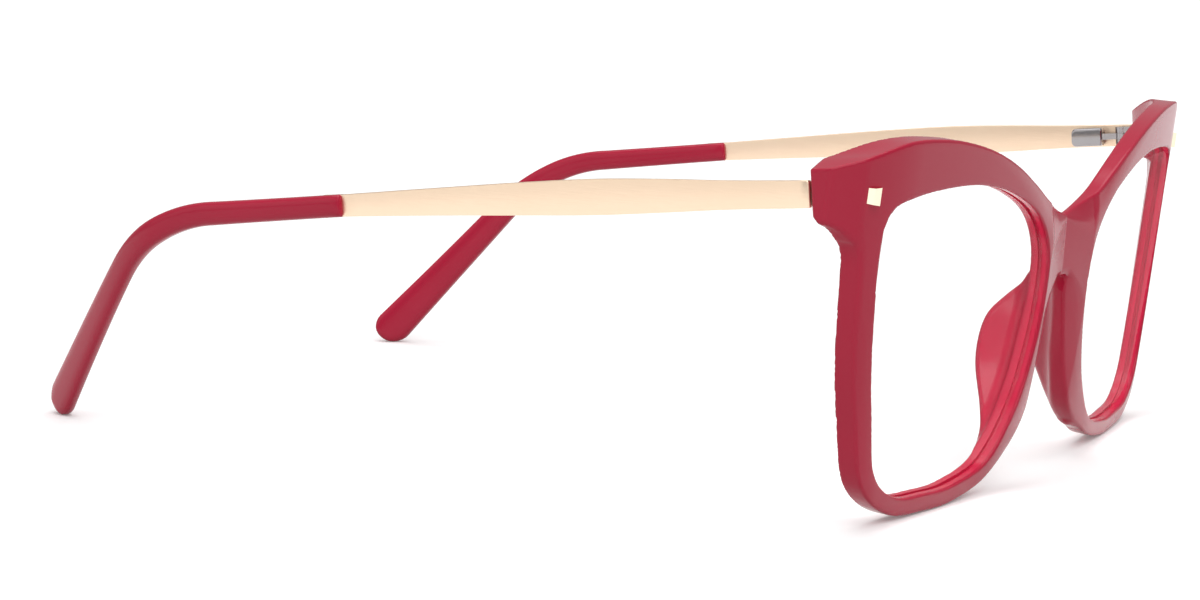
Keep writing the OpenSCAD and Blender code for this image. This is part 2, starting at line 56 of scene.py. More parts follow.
class Side(Enum):
    """The wearer's left is +X, the right is -X."""

    LEFT = 1.0
    RIGHT = -1.0

    @property
    def word(self) -> str:
        """The side's name as the frame's nodes and bodies spell it."""
        return self.name.lower()


class Body(Enum):
    """The frame's bodies that the pieces made here ride on."""

    FRONT = "front"
    TEMPLE = "temple"

    def of(self, side: Side) -> str:
        """The body's full name on one side."""
        return self.value if self is Body.FRONT else f"{side.word}_{self.value}"


class Slot(Enum):
    """The record's material slots."""

    CRIMSON = "crimson_acetate"
    LENS = "clear_lens"
    GOLD = "pale_gold"
    CHAMPAGNE = "champagne_metal"
    STEEL = "hinge_steel"


# --- curves and distance fields ------------------------------------------------
def spline(points: list[Point2], steps: int, closed: bool) -> Array:
    """A smooth curve through points.

    Args:
        points: the control points.
        steps: how many pieces each span is divided into.
        closed: whether the last point joins the first.

    Returns:
        The curve's points, one per row.
    """
    p = np.asarray(points, float)
    if closed:
        spans = len(p)
        padded = np.vstack([p[-1:], p, p[:2]])
    else:
        spans = len(p) - 1
        padded = np.vstack([2 * p[:1] - p[1:2], p, 2 * p[-1:] - p[-2:-1]])
    t = (np.arange(steps) / steps)[:, None]
    out = []
    for i in range(spans):
        a, b, c, d = padded[i : i + 4]
        out.append((2 * b + (c - a) * t + (2 * a - 5 * b + 4 * c - d) * t**2
                    + (3 * b - a - 3 * c + d) * t**3) / 2)
    if not closed:
        out.append(p[-1:])
    return np.vstack(out)


def outward(p: Array, i: int) -> Array:
    """The outward direction of an anticlockwise outline at point i."""
    d = p[(i + 1) % len(p)] - p[i - 1]
    return np.array([d[1], -d[0]]) / np.hypot(*d)


def smooth_step(low: float, high: float, x: Array) -> Array:
    """0 below low, 1 above high, and a smooth rise between."""
    s = np.clip((x - low) / (high - low), 0, 1)
    return s * s * (3 - 2 * s)


def round_both(a: Array, b: Array, radius: float) -> Array:
    """Where both solids are, with a rounded edge between their faces.

    Args:
        a: the first solid's distance field.
        b: the second solid's distance field.
        radius: the edge's radius.

    Returns:
        The distance field of what the two share.
    """
    p, q = np.maximum(a + radius, 0), np.maximum(b + radius, 0)
    return np.minimum(np.maximum(a, b) + radius, 0) + np.sqrt(p * p + q * q) - radius


def soft_join(a: Array, b: Array, reach: float) -> Array:
    """Either solid, with a hollow fillet where their faces meet.

    Args:
        a: the first solid's distance field.
        b: the second solid's distance field.
        reach: how far the fillet reaches along each face.

    Returns:
        The distance field of the two joined.
    """
    h = np.maximum(reach - np.abs(a - b), 0) / reach
    return np.minimum(a, b) - h * h * reach / 4


class PlanField:
    """Signed distance to a closed outline in a plane, negative inside."""

    STEP = 0.2

    def __init__(self, outline: Array, low: Point2, high: Point2) -> None:
        """Measures the distances on a grid.

        Args:
            outline: the outline's points.
            low: the grid's lowest corner.
            high: the grid's highest corner.
        """
        self.low = np.asarray(low, float)
        x, y = (np.arange(lo, hi + self.STEP, self.STEP) for lo, hi in zip(low, high))
        gx, gy = (g.astype(np.float32) for g in np.meshgrid(x, y, indexing="ij"))
        best = np.full(gx.shape, 1e9, np.float32)
        inside = np.zeros(gx.shape, bool)
        for (ax, ay), (bx, by) in zip(outline, np.roll(outline, -1, axis=0)):
            dx, dy = bx - ax, by - ay
            size = dx * dx + dy * dy
            if size < 1e-12:
                continue
            t = np.clip(((gx - ax) * dx + (gy - ay) * dy) / size, 0, 1)
            best = np.minimum(best, (gx - ax - t * dx) ** 2 + (gy - ay - t * dy) ** 2)
            if dy:
                crosses = (gy >= min(ay, by)) & (gy < max(ay, by))
                inside ^= crosses & (gx < ax + (gy - ay) / dy * dx)
        self.values = np.where(inside, -1, 1) * np.sqrt(best)

    def __call__(self, x: Array, y: Array) -> Array:
        """The distances at points, read between the grid's values."""
        nx, ny = self.values.shape
        fx = np.clip((x - self.low[0]) / self.STEP, 0, nx - 1.001)
        fy = np.clip((y - self.low[1]) / self.STEP, 0, ny - 1.001)
        i, j = fx.astype(int), fy.astype(int)
        fx, fy = fx - i, fy - j
        v = self.values
        return ((v[i, j] * (1 - fx) + v[i + 1, j] * fx) * (1 - fy)
                + (v[i, j + 1] * (1 - fx) + v[i + 1, j + 1] * fx) * fy)


# --- meshes ----------------------------------------------------------------------
def make_piece(name: str, points: Array, faces: Array | list,
               normals: Array | None = None) -> bpy.types.Object:
    """A smooth-shaded mesh object from points in millimetres.

    Args:
        name: the piece's name.
        points: one point per row, in the row frame.
        faces: point numbers of each face.
        normals: the surface's own normals, where they are known.

    Returns:
        The new object.
    """
    mesh = bpy.data.meshes.new(name)
    mesh.from_pydata((np.asarray(points) * MM).tolist(), [],
                     faces.tolist() if isinstance(faces, np.ndarray) else faces)
    mesh.update()
    mesh.polygons.foreach_set("use_smooth", np.ones(len(mesh.polygons), bool))
    if normals is not None:
        mesh.normals_split_custom_set_from_vertices(normals.tolist())
    piece = bpy.data.objects.new(name, mesh)
    bpy.context.scene.collection.objects.link(piece)
    return piece


def loft(rings: list[Array]) -> tuple[Array, list[list[int]]]:
    """A closed skin over rings of equal point count.

    Args:
        rings: the rings, each an array of points.

    Returns:
        The points and the faces, both ends closed.
    """
    n = len(rings[0])
    faces = [list(range(n))[::-1], list(range((len(rings) - 1) * n, len(rings) * n))]
    for r in range(len(rings) - 1):
        for k in range(n):
            m = (k + 1) % n
            faces.append([r * n + k, r * n + m, (r + 1) * n + m, (r + 1) * n + k])
    return np.vstack(rings), faces


def bevel(piece: bpy.types.Object, width: float) -> None:
    """Rounds a piece's sharp edges by a width in millimetres."""
    mod = piece.modifiers.new("edge", "BEVEL")
    mod.width, mod.segments, mod.limit_method = width * MM, 3, "ANGLE"
    mod.angle_limit = math.radians(30)


def oval(angles: Array, power: float, wide: float, high: float) -> tuple[Array, Array]:
    """A rounded section, squarer the lower its power.

    Args:
        angles: the angles of its points.
        power: how far the corners fill out, 1 for an ellipse.
        wide: half its width.
        high: half its height.

    Returns:
        The points' places across and up.
    """
    c, s = np.cos(angles), np.sin(angles)
    return np.sign(c) * np.abs(c) ** power * wide, np.sign(s) * np.abs(s) ** power * high


class Polygoniser:
    """Turns a distance field into a smooth closed mesh."""

    CORNERS = [(i, j, k) for i in (0, 1) for j in (0, 1) for k in (0, 1)]

    def __init__(self, shape: Callable[[Array], Array], low: Array, high: Array,
                 step: float) -> None:
        """Samples the field.

        Args:
            shape: the field, from points to distances.
            low: the sampled box's lowest corner.
            high: the sampled box's highest corner.
            step: the pitch of the samples.
        """
        self.shape, self.low, self.step = shape, np.asarray(low, float), step
        axes = [np.arange(lo, hi + step, step) for lo, hi in zip(low, high)]
        slabs = []
        for part in np.array_split(axes[0], 12):
            g = np.stack(np.meshgrid(part, axes[1], axes[2], indexing="ij"), -1)
            slabs.append(shape(g.reshape(-1, 3)).reshape(g.shape[:3]).astype(np.float32))
        self.samples = np.concatenate(slabs)

    def cells(self) -> tuple[Array, Array]:
        """The mesh's points, one in each cell that the surface crosses.

        Returns:
            The points, and the number of each cell's point or -1.
        """
        s = self.samples
        shape = tuple(n - 1 for n in s.shape)
        corner = {c: s[c[0]:c[0] + shape[0], c[1]:c[1] + shape[1], c[2]:c[2] + shape[2]]
                  for c in self.CORNERS}
        full = np.zeros(shape, np.int8)
        for c in self.CORNERS:
            full += corner[c] < 0
        where = np.nonzero((full > 0) & (full < 8))
        total, count = np.zeros((len(where[0]), 3)), np.zeros(len(where[0]))
        for c in self.CORNERS:
            for axis in range(3):
                if c[axis]:
                    continue
                e = tuple(1 if n == axis else c[n] for n in range(3))
                a, b = corner[c][where].astype(float), corner[e][where].astype(float)
                cut = (a < 0) != (b < 0)
                t = np.where(cut, a / np.where(cut, a - b, 1), 0)
                p = np.tile(np.array(c, float), (len(a), 1))
                p[:, axis] = t
                total += p * cut[:, None]
                count += cut
        number = np.full(shape, -1, np.int64)
        number[where] = np.arange(len(where[0]))
        points = self.low + (np.stack(where, 1) + total / count[:, None]) * self.step
        return points, number

    def faces(self, number: Array) -> Array:
        """Four-sided faces, one for each sample pair that the surface parts."""
        inside, out = self.samples < 0, []
        for axis in range(3):
            one, two = (axis + 1) % 3, (axis + 2) % 3
            a = np.take(inside, range(inside.shape[axis] - 1), axis)
            b = np.take(inside, range(1, inside.shape[axis]), axis)
            at = np.stack(np.nonzero(a != b), 1)
            keep = (at[:, one] > 0) & (at[:, two] > 0)
            keep &= (at[:, one] < number.shape[one]) & (at[:, two] < number.shape[two])
            at = at[keep]
            quad = []
            for d1, d2 in ((1, 1), (0, 1), (0, 0), (1, 0)):
                cell = at.copy()
                cell[:, one] -= d1
                cell[:, two] -= d2
                quad.append(number[tuple(cell.T)])
            quad = np.stack(quad, 1)
            ends_inside = ~a[tuple(at.T)]
            quad[ends_inside] = quad[ends_inside][:, ::-1]
            out.append(quad)
        return np.vstack(out)

    def slope(self, points: Array, reach: float) -> Array:
        """The field's gradient at points."""
        out = np.empty_like(points)
        for axis in range(3):
            d = np.zeros(3)
            d[axis] = reach
            out[:, axis] = (self.shape(points + d) - self.shape(points - d)) / (2 * reach)
        return out

    def mesh(self) -> tuple[Array, Array, Array]:
        """The settled mesh.

        Returns:
            Points, faces and unit normals.
        """
        points, number = self.cells()
        faces = self.faces(number)
        for _ in range(3):
            g = self.slope(points, 0.05)
            move = (self.shape(points) / np.maximum((g * g).sum(1), 0.25))[:, None] * g
            points -= np.clip(move, -0.4 * self.step, 0.4 * self.step)
        g = self.slope(points, 0.16)
        return points, faces, g / np.maximum(np.linalg.norm(g, axis=1), 1e-9)[:, None]


# --- finishes ----------------------------------------------------------------------
def add(tree: bpy.types.NodeTree, kind: str, **values: object) -> bpy.types.Node:
    """A node with its plain settings and socket values.

    Args:
        tree: the tree that gets the node.
        kind: the node's type.
        **values: attributes, or sockets with spaces written as underscores.

    Returns:
        The new node.
    """
    node = tree.nodes.new(kind)
    for key, value in values.items():
        if key.startswith("in_"):
            name = key[3:]
            node.inputs[int(name) if name.isdigit() else name.replace("_", " ")].default_value = value
        else:
            setattr(node, key, value)
    return node


class Groups:
    """Shader node groups that several finishes share."""

    @staticmethod
    def start(name: str, inputs: dict[str, tuple | float], outputs: dict[str, str]) -> tuple:
        """A new group with its sockets.

        Args:
            name: the group's name.
            inputs: each input's name and value: four numbers for a colour, three for a vector.
            outputs: each output's name and kind.

        Returns:
            The group, its input node and its output node.
        """
        g = bpy.data.node_groups.new(name, "ShaderNodeTree")
        for label, value in inputs.items():
            kind = {4: "Color", 3: "Vector", 1: "Float"}[len(value) if isinstance(value, tuple) else 1]
            g.interface.new_socket(name=label, in_out="INPUT",
                                   socket_type=f"NodeSocket{kind}").default_value = value
        for label, kind in outputs.items():
            g.interface.new_socket(name=label, in_out="OUTPUT", socket_type=f"NodeSocket{kind}")
        return g, add(g, "NodeGroupInput"), add(g, "NodeGroupOutput")

    @classmethod
    def tone(cls) -> bpy.types.NodeTree:
        """Slow wander of a colour between two shades, with a fine roughness mask."""
        name = "tone_wander"
        if name in bpy.data.node_groups:
            return bpy.data.node_groups[name]
        g, i, o = cls.start(name, {"Light": (1, 1, 1, 1), "Dark": (0, 0, 0, 1), "Scale": 60.0,
                                   "Smooth": 0.1, "Rough": 0.3},
                            {"Color": "Color", "Roughness": "Float"})
        where = add(g, "ShaderNodeTexCoord")
        slow = add(g, "ShaderNodeTexNoise", in_Detail=2.0, in_Roughness=0.45)
        fine = add(g, "ShaderNodeTexNoise", in_Scale=900.0, in_Detail=3.0)
        mix = add(g, "ShaderNodeMix", data_type="RGBA")
        rough = add(g, "ShaderNodeMapRange")
        link = g.links.new
        link(where.outputs["Object"], slow.inputs["Vector"])
        link(where.outputs["Object"], fine.inputs["Vector"])
        link(i.outputs["Scale"], slow.inputs["Scale"])
        link(slow.outputs["Fac"], mix.inputs["Factor"])
        link(i.outputs["Dark"], mix.inputs[MIX_A])
        link(i.outputs["Light"], mix.inputs[MIX_B])
        link(mix.outputs[MIX_OUT], o.inputs["Color"])
        link(fine.outputs["Fac"], rough.inputs["Value"])
        link(i.outputs["Smooth"], rough.inputs["To Min"])
        link(i.outputs["Rough"], rough.inputs["To Max"])
        link(rough.outputs["Result"], o.inputs["Roughness"])
        return g

    @classmethod
    def brushing(cls) -> bpy.types.NodeTree:
        """Fine lines left by brushing along a temple, as a height."""
        name = "brushed_lines"
        if name in bpy.data.node_groups:
            return bpy.data.node_groups[name]
        g, i, o = cls.start(name, {"Stretch": (4000.0, 60.0, 4000.0)}, {"Height": "Float"})
        where = add(g, "ShaderNodeTexCoord")
        scale = add(g, "ShaderNodeVectorMath", operation="MULTIPLY")
        lines = add(g, "ShaderNodeTexNoise", in_Scale=1.0, in_Detail=4.0, in_Roughness=0.6)
        link = g.links.new
        link(where.outputs["Object"], scale.inputs[0])
        link(i.outputs["Stretch"], scale.inputs[1])
        link(scale.outputs["Vector"], lines.inputs["Vector"])
        link(lines.outputs["Fac"], o.inputs["Height"])
        return g


def blank_material(name: str) -> tuple[bpy.types.Material, bpy.types.Node]:
    """A material with nothing in it but a Principled shader and its output."""
    material = bpy.data.materials.new(name)
    material.use_nodes = True
    tree = material.node_tree
    tree.nodes.clear()
    shader = add(tree, "ShaderNodeBsdfPrincipled")
    out = add(tree, "ShaderNodeOutputMaterial")
    tree.links.new(shader.outputs["BSDF"], out.inputs["Surface"])
    return material, shader


def give_tone(tree: bpy.types.NodeTree, shader: bpy.types.Node, normal: bpy.types.Node,
              **values: object) -> None:
    """Feeds a shader's colour and roughness from the tone group, and its normal.

    Args:
        tree: the material's tree.
        shader: the Principled shader.
        normal: the bump node.
        **values: the tone group's sockets.
    """
    tone = add(tree, "ShaderNodeGroup", node_tree=Groups.tone(), **values)
    tree.links.new(normal.outputs["Normal"], shader.inputs["Normal"])
    tree.links.new(tone.outputs["Color"], shader.inputs["Base Color"])
    tree.links.new(tone.outputs["Roughness"], shader.inputs["Roughness"])


@dataclass(frozen=True)
class Moulding:
    """Glossy moulded polymer, coloured through."""

    name: str = "crimson_acetate"
    light: tuple[float, float, float, float] = (0.50, 0.014, 0.050, 1)
    dark: tuple[float, float, float, float] = (0.43, 0.010, 0.038, 1)
    coat: float = 0.06
    ripple: float = 0.002

    def build(self) -> bpy.types.Material:
        """The material: slow colour wander, polished coat and a faint ripple."""
        material, shader = blank_material(self.name)
        tree = material.node_tree
        shader.inputs["IOR"].default_value = 1.49
        shader.inputs["Coat Weight"].default_value = self.coat
        shader.inputs["Coat Roughness"].default_value = 0.08
        shader.inputs["Specular IOR Level"].default_value = 0.24
        where = add(tree, "ShaderNodeTexCoord")
        wave = add(tree, "ShaderNodeTexNoise", in_Scale=180.0, in_Detail=1.0)
        bump = add(tree, "ShaderNodeBump", in_Strength=self.ripple, in_Distance=0.001)
        tree.links.new(where.outputs["Object"], wave.inputs["Vector"])
        tree.links.new(wave.outputs["Fac"], bump.inputs["Height"])
        give_tone(tree, shader, bump, in_Light=self.light, in_Dark=self.dark, in_Scale=45.0,
                  in_Smooth=0.17, in_Rough=0.21)
        return material


@dataclass(frozen=True)
class Metal:
    """Plated metal, from satin brushed to polished."""

    name: str
    light: tuple[float, float, float, float]
    dark: tuple[float, float, float, float]
    smooth: float
    rough: float
    lines: float

    def build(self) -> bpy.types.Material:
        """The material: tone wander, and brushed lines as deep as asked."""
        material, shader = blank_material(self.name)
        tree = material.node_tree
        shader.inputs["Metallic"].default_value = 1.0
        brush = add(tree, "ShaderNodeGroup", node_tree=Groups.brushing())
        bump = add(tree, "ShaderNodeBump", in_Strength=self.lines, in_Distance=0.0001)
        tree.links.new(brush.outputs["Height"], bump.inputs["Height"])
        give_tone(tree, shader, bump, in_Light=self.light, in_Dark=self.dark, in_Scale=80.0,
                  in_Smooth=self.smooth, in_Rough=self.rough)
        return material


@dataclass(frozen=True)
class ClearLens:
    """A clear lens that lets light through unshaded."""

    name: str = "clear_lens"
    index: float = 1.0

    def build(self) -> bpy.types.Material:
        """The material: clear glass that casts no shadow."""
        material, shader = blank_material(self.name)
        tree = material.node_tree
        shader.inputs["Base Color"].default_value = (0.995, 0.998, 1.0, 1)
        shader.inputs["Transmission Weight"].default_value = 1.0
        shader.inputs["IOR"].default_value = self.index
        shader.inputs["Coat Weight"].default_value = 0.1
        shader.inputs["Coat Roughness"].default_value = 0.02
        tone = add(tree, "ShaderNodeGroup", node_tree=Groups.tone(), in_Smooth=0.0, in_Rough=0.01)
        path = add(tree, "ShaderNodeLightPath")
        clear = add(tree, "ShaderNodeBsdfTransparent")
        mix = add(tree, "ShaderNodeMixShader")
        out = tree.nodes["Material Output"]
        link = tree.links.new
        link(tone.outputs["Roughness"], shader.inputs["Roughness"])
        link(path.outputs["Is Shadow Ray"], mix.inputs["Fac"])
        link(shader.outputs["BSDF"], mix.inputs[1])
        link(clear.outputs["BSDF"], mix.inputs[2])
        link(mix.outputs["Shader"], out.inputs["Surface"])
        return material


class Finishes:
    """One material per slot, built once."""

    def __init__(self) -> None:
        """Builds every finish."""
        self.of: dict[Slot, bpy.types.Material] = {
            Slot.CRIMSON: Moulding().build(),
            Slot.LENS: ClearLens().build(),
            Slot.CHAMPAGNE: Metal("champagne_metal", (0.97, 0.76, 0.57, 1), (0.93, 0.71, 0.52, 1),
                                  0.30, 0.40, 0.25).build(),
            Slot.GOLD: Metal("pale_gold", (0.95, 0.88, 0.70, 1), (0.90, 0.80, 0.60, 1),
                             0.08, 0.14, 0.02).build(),
            Slot.STEEL: Metal("hinge_steel", (0.46, 0.44, 0.44, 1), (0.33, 0.31, 0.32, 1),
                              0.10, 0.20, 0.05).build(),
        }

    def dress(self, piece: bpy.types.Object, slot: Slot) -> None:
        """Gives a piece its slot's material."""
        piece.data.materials.clear()
        piece.data.materials.append(self.of[slot])


# --- the shared frame ----------------------------------------------------------------
@dataclass
class FrontSizes:
    """The front's sizes in millimetres, and where it stands."""

    lens_w: float = 48.6
    lens_h: float = 39.6
    lens_gap: float = 17.6
    rim_bottom_w: float = 2.3
    rim_nose_w: float = 4.1
    rim_side_w: float = 3.1
    rim_depth: float = 2.8
    brow_h: float = 6.3
    bridge_h: float = 8.6
    bridge_rise: float = 26.9
    bridge_valley: float = 1.2
    wrap_r: float = 330.0
    lean_deg: float = 5.8
    endpiece_reach: float = 7.1
    endpiece_h: float = 6.1
    endpiece_depth: float = 4.2
    endpiece_sweep: float = 2.1
    endpiece_fall: float = 3.3
    hinge_setback: float = 1.9
    lens_shares: tuple[Point2, ...] = (
        (0.247, 0.055), (0.447, 0.003), (0.611, 0), (0.776, 0.015), (0.895, 0.105),
        (0.942, 0.29), (0.977, 0.50), (1, 0.80), (0.977, 0.935), (0.875, 0.98),
        (0.683, 1), (0.508, 0.995), (0.323, 0.955), (0.14, 0.872), (0.029, 0.748),
        (0.002, 0.598), (0.025, 0.418), (0.099, 0.22))
    brow_shares: tuple[Point2, ...] = (
        (-0.11, 0.055), (0.03, 0.205), (0.17, 0.43), (0.32, 0.653), (0.47, 0.82),
        (0.62, 0.93), (0.76, 0.985), (0.92, 0.985), (1.05, 0.87))

    def __post_init__(self) -> None:
        """Works out the places that follow from the sizes."""
        joint = next(j for j in frame["joints"] if j["name"] == "left_fold")
        self.pivot = np.array(joint["pos_m"]) / MM
        self.lean = math.radians(self.lean_deg)
        self.fall = math.atan2(joint["axis"][1], joint["axis"][2])
        self.near = self.lens_gap / 2
        self.far = self.near + self.lens_w
        self.peak = self.rim_bottom_w + self.lens_h + self.brow_h
        self.bridge_top = self.bridge_rise + self.bridge_h
        self.half_w = self.far + self.endpiece_reach
        self.corner_top = self.peak - self.endpiece_fall
        self.corner_low = self.corner_top - self.endpiece_h
        self.corner_mid = (self.corner_top + self.corner_low) / 2
        self.sweep_start = self.far - 6
        self.butt_from = self.half_w - 4
        self.taper_from = self.butt_from - 13
        self.corner_w = float(self.swept(np.array(self.half_w)))
        back = self.endpiece_depth + self.hinge_setback
        y = self.corner_w * math.cos(self.lean) - self.corner_mid * math.sin(self.lean)
        z = self.corner_mid * math.cos(self.lean) + self.corner_w * math.sin(self.lean)
        self.origin = np.array([0, self.pivot[1] - y - back * math.cos(self.fall),
                                self.pivot[2] - z + back * math.sin(self.fall)])

    def wrap(self, x: Array) -> Array:
        """Depth of the wrapped face behind the flat plane."""
        return self.wrap_r - np.sqrt(self.wrap_r**2 - x * x)

    def swept(self, x: Array) -> Array:
        """Depth of the face with the corner's sweep."""
        s = np.maximum(0, (x - self.sweep_start) / (self.half_w - self.sweep_start))
        return self.wrap(x) + self.endpiece_sweep * s * s

    def to_row(self, p: Array) -> Array:
        """Points from the front's own frame (across, back, up) to the row frame."""
        c, s = math.cos(self.lean), math.sin(self.lean)
        return self.origin + np.stack([p[:, 0], p[:, 1] * c - p[:, 2] * s,
                                       p[:, 2] * c + p[:, 1] * s], 1)

    def turn(self, n: Array) -> Array:
        """Directions from the front's own frame to the row frame."""
        return self.to_row(n) - self.origin


# --- the front -------------------------------------------------------------------------
@dataclass
class Front:
    """The moulded front with its endpieces and nose pads, one solid."""

    sizes: FrontSizes
    finishes: Finishes
    pitch: float = 0.28
    edge_r: float = 0.34
    opening_r: float = 0.26
    facet_r: float = 0.25
    nose_facet_r: float = 0.3
    back_r: float = 0.2
    groove_into: float = 0.55
    groove_half: float = 0.5
    open_behind: float = 31.0
    under_fillet: float = 6.0
    pad_fillet: float = 2.0
    pad_half: float = 0.95
    pad_splay: float = 0.55
    valley_growth: float = 0.06
    facet_face: tuple[Point2, ...] = ((0, 0.3), (4, 2.0), (8.6, 4.4), (9.6, 3.3), (14, 2.3),
                                      (22, 1.2), (32, 0.1))
    facet_back: tuple[Point2, ...] = ((0, 0.3), (4, 0.8), (8.6, 1.0), (10, 0.7), (14, 0.55),
                                      (22, 0.3), (32, 0.03))
    nose_facet_face: tuple[Point2, ...] = ((1, 0.4), (4, 1.4), (8, 2.4), (16, 2.8), (23, 3.0),
                                           (25, 2.2), (27, 0.6))
    nose_facet_back: tuple[Point2, ...] = ((1, 0.15), (5, 0.4), (10, 0.5), (23, 0.6), (27, 0.4))
    pad_root: tuple[Point2, ...] = ((4.9, 6.9), (7.2, 4.0), (10, 1.8), (14.6, -0.7), (18.4, -1.9),
                                    (21.6, -2.8), (24.1, -3.7), (26, -4.3), (29.5, -5.0))
    pad_side: tuple[Point2, ...] = (
        (29.6, 1.6), (28.9, 2.8), (27.5, 4.0), (26, 4.7), (24.1, 6.2), (21.6, 7.7), (18.4, 8.1),
        (14.6, 7.6), (10, 5.7), (7.2, 4.4), (5.2, 3.2), (4.2, 1.4), (9, 0.6), (16, 0.4), (23, 0.6))

    def lens_outline(self, steps: int = 12) -> Array:
        """The lens opening's outline."""
        s = self.sizes
        return spline([(s.near + a * s.lens_w, s.rim_bottom_w + b * s.lens_h)
                       for a, b in s.lens_shares], steps, True)

    def rim_outline(self) -> Array:
        """The outline of the rims and bridge, open upwards past the brow."""
        s = self.sizes
        p = np.array([(s.near + a * s.lens_w, s.rim_bottom_w + b * s.lens_h)
                      for a, b in s.lens_shares])
        widths = ((16, s.rim_nose_w + 0.5), (17, s.rim_nose_w + 0.4), (0, s.rim_nose_w - 1.7),
                  (1, s.rim_bottom_w), (2, s.rim_bottom_w), (3, s.rim_bottom_w),
                  (4, s.rim_side_w - 0.4), (5, s.rim_side_w - 0.1), (6, s.rim_side_w),
                  (7, s.rim_side_w + 0.1))
        bridge = [(0, s.bridge_rise), (s.near * 0.3, s.bridge_rise - 0.3),
                  (s.near * 0.41, s.bridge_rise - 2.6), (s.near * 0.52, s.bridge_rise - 6)]
        side = [(s.far + s.rim_side_w + 0.9, s.corner_low - 2),
                (s.far + s.rim_side_w + 1.2, s.corner_low + 3)]
        low = spline(bridge + [tuple(p[i] + w * outward(p, i)) for i, w in widths] + side, 10, False)
        half = np.vstack([low, [[s.far + s.rim_side_w + 1.2, 70.0]]])
        return np.vstack([half, (half * [-1, 1])[::-1]])

    def envelope(self) -> Array:
        """The outline of the brow line and the endpieces' sides, open downwards."""
        s = self.sizes
        rise = s.peak - s.bridge_top
        brow = [(0, s.bridge_top)] + [(s.near + a * s.lens_w, s.bridge_top + b * rise)
                                      for a, b in s.brow_shares] + [(s.half_w, s.corner_top)]
        top = spline(brow, 12, False)
        half = np.vstack([[[s.half_w, -40.0]], top[::-1]])
        return np.vstack([half, (half[:-1] * [-1, 1])[::-1]])

    def prepare(self) -> None:
        """Measures the plane outlines that the solid is cut from."""
        s = self.sizes
        low, high = (-3.0, -3.0), (s.half_w + 3, s.peak + 3)
        self.rim = PlanField(self.rim_outline(), low, high)
        self.top = PlanField(self.envelope(), low, high)
        self.lens = PlanField(self.lens_outline(), low, high)
        self.pad = PlanField(spline(list(self.pad_side), 8, True), (-3.0, -3.0), (32.0, 14.0))

    def underside(self, w: Array, v: Array) -> Array:
        """Height above the endpiece's underside, along the temple's fall."""
        s = self.sizes
        beta = s.lean + s.fall
        return ((w - s.corner_w) * math.sin(beta) + (v - s.corner_mid) * math.cos(beta)
                + s.endpiece_h / 2)

    def back(self, a: Array, v: Array, above: Array) -> Array:
        """How far the solid's back stands behind its face.

        Args:
            a: distances from the centre.
            v: heights up the front.
            above: heights above the endpiece's underside.

        Returns:
            The depths.
        """
        s = self.sizes
        beta = s.lean + s.fall
        rise = (v - s.corner_mid) * math.sin(beta)
        butt = s.corner_w + (s.endpiece_depth + rise) / math.cos(beta)
        extra = np.maximum(butt - s.swept(np.minimum(a, s.half_w + 1)) - s.rim_depth, 0)
        start = s.taper_from - 3
        share = np.clip((a - start) / (s.butt_from - start), 0, 1) ** 2.2
        return s.rim_depth + extra * share * smooth_step(-0.9, 0.5, above)

    def nose_pad(self, a: Array, t: Array, v: Array) -> Array:
        """A pad that grows out of the rim's back and splays to the temple side."""
        s = self.sizes
        root = np.asarray(self.pad_root)
        line = spline(list(self.pad_root), 6, False)
        behind = t - s.rim_depth
        flare = self.pad_splay * (behind + np.sqrt(behind * behind + 0.6)) / 2
        middle = s.near + np.interp(v, line[:, 0], line[:, 1]) + flare
        lean = np.interp(v, root[:, 0], np.gradient(root[:, 1], root[:, 0]))
        square = np.sqrt(1 + self.pad_splay**2 + lean**2)
        half = self.pad_half + 0.35 * smooth_step(6, 2, t)
        return round_both(np.abs(a - middle) / square - half, self.pad(v, t), 0.9)

    def nose_facet(self, a: Array, v: Array, front: Array) -> Array:
        """The broad slope from the front's face to the nose side.

        Args:
            a: distances from the centre.
            v: heights up the front.
            front: distances in front of the face.

        Returns:
            The slope's distance field.
        """
        wide = np.interp(v, *np.transpose(self.nose_facet_face))
        into = np.interp(v, *np.transpose(self.nose_facet_back))
        fade = 1 - 0.85 * smooth_step(14, 24, a)
        wide, into = wide * fade, into * fade
        return (1 + self.rim(a, v) / wide + front / into) / np.sqrt(wide**-2.0 + into**-2.0)

    def shape(self, p: Array) -> Array:
        """The front's distance field.

        Args:
            p: points in the front's own frame (across, back, up).

        Returns:
            Distances, negative inside the solid.
        """
        s = self.sizes
        a, w, v = np.abs(p[:, 0]), p[:, 1], p[:, 2]
        capped = np.minimum(a, s.half_w + 1)
        face = s.swept(capped)
        t = w - face
        square = np.sqrt(1 - (capped / s.wrap_r) ** 2)
        spread = a * (1 + t / s.wrap_r * smooth_step(s.corner_low, s.corner_low - 4, v))
        above = self.underside(w, v)
        side = soft_join(self.rim(a, v), -above, self.under_fillet)
        solid = round_both(side, (t - self.back(a, v, above)) * square, self.back_r)
        near = (a > s.near - 6) & (a < s.near + 16) & (v < 32)
        pad = np.full(len(a), 9.0)
        pad[near] = self.nose_pad(a[near], t[near], v[near])
        solid = soft_join(solid, pad, self.pad_fillet)
        shear = math.tan(s.lean + s.fall) * smooth_step(s.taper_from, s.butt_from, a)
        top = self.top(a, v + t * shear)
        deep = s.bridge_valley + self.valley_growth * np.maximum(v - s.bridge_rise, 0)
        valley = deep + (float(s.wrap(np.array(s.near))) - deep) * a / s.near
        dip = np.where(a < s.near, valley, -1)
        front = (np.maximum(face, dip) - w) * square
        up_face = np.interp(a, *np.transpose(self.facet_face))
        into = np.interp(a, *np.transpose(self.facet_back))
        facet = (1 + top / up_face + front / into) / np.sqrt(up_face**-2.0 + into**-2.0)
        solid = round_both(solid, top, self.edge_r)
        solid = round_both(solid, front, self.edge_r)
        solid = round_both(solid, facet, self.facet_r)
        solid = round_both(solid, self.nose_facet(a, v, front), self.nose_facet_r)
        opening = self.lens(spread, v)
